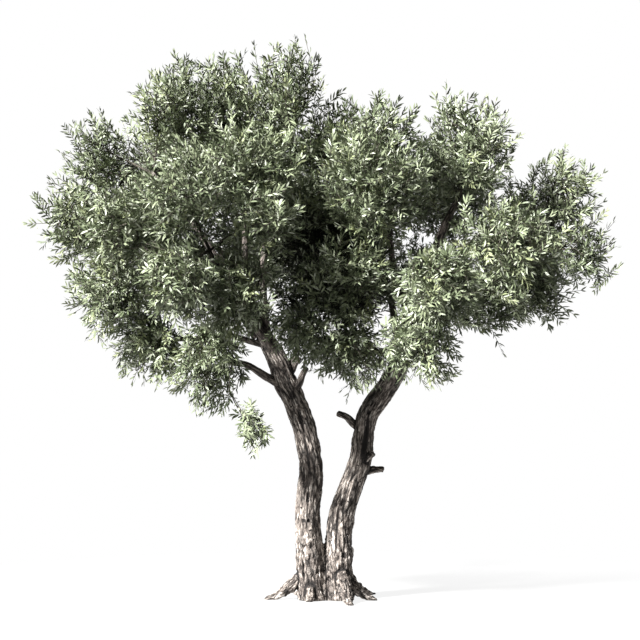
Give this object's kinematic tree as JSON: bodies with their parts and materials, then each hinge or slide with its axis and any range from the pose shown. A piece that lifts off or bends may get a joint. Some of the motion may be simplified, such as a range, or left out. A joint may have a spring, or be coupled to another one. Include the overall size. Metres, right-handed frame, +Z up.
{
  "type": "olive tree",
  "caption": "Old olive tree with two leaning stems from one flared foot, spreading boughs and a broad, open crown of small grey-green leaves.",
  "frame": {"origin": "on the flat cut at ground level, between the two stems", "axes": "+Z up, +X towards the side that the right stem leans to, -Y towards the front"},
  "size_m": [5.336, 3.7381, 5.0262],
  "materials": {
    "bark": "rough, furrowed grey-brown bark",
    "young_bark": "matt grey bark, finer than on the stems",
    "foliage": "matt grey-green leaves with a slight sheen"
  },
  "bodies": {
    "root": {"foot": "bark", "left_stem": "bark", "right_stem": "bark", "bough_left_back": "young_bark", "bough_left_front": "young_bark", "bough_left_inner": "young_bark", "bough_left_level": "young_bark", "bough_left_low": "young_bark", "bough_left_outer": "young_bark", "bough_left_rising": "young_bark", "bough_left_short": "young_bark", "bough_left_upper": "young_bark", "bough_right_back": "young_bark", "bough_right_front": "young_bark", "bough_right_inner": "young_bark", "bough_right_low": "young_bark", "bough_right_main": "young_bark", "bough_right_outer": "young_bark", "bough_right_rising": "young_bark", "foliage_between": "foliage", "foliage_crest": "foliage", "foliage_crest_face": "foliage", "foliage_crown_outer": "foliage", "foliage_crown_rear": "foliage", "foliage_crown_right": "foliage", "foliage_face_clump": "foliage", "foliage_face_inner": "foliage", "foliage_face_lower": "foliage", "foliage_face_upper": "foliage", "foliage_front_low": "foliage", "foliage_front_outer": "foliage", "foliage_front_right": "foliage", "foliage_hanging": "foliage", "foliage_heart": "foliage", "foliage_heart_low": "foliage", "foliage_left_face": "foliage", "foliage_left_foot": "foliage", "foliage_left_rear": "foliage", "foliage_left_tip": "foliage", "foliage_low_inner": "foliage", "foliage_low_left": "foliage", "foliage_low_middle": "foliage", "foliage_rear_heart": "foliage", "foliage_rear_left": "foliage", "foliage_rear_middle": "foliage", "foliage_rear_right": "foliage", "foliage_rear_right_low": "foliage", "foliage_right_face": "foliage", "foliage_right_foot": "foliage", "foliage_right_shoulder": "foliage", "foliage_right_tip": "foliage", "foliage_top_face": "foliage", "foliage_top_left": "foliage", "foliage_top_peak": "foliage", "foliage_top_rear": "foliage", "foliage_top_saddle": "foliage", "foliage_upper_left": "foliage", "foliage_upper_outer": "foliage", "foliage_upper_rear": "foliage"}
  },
  "joints": []
}
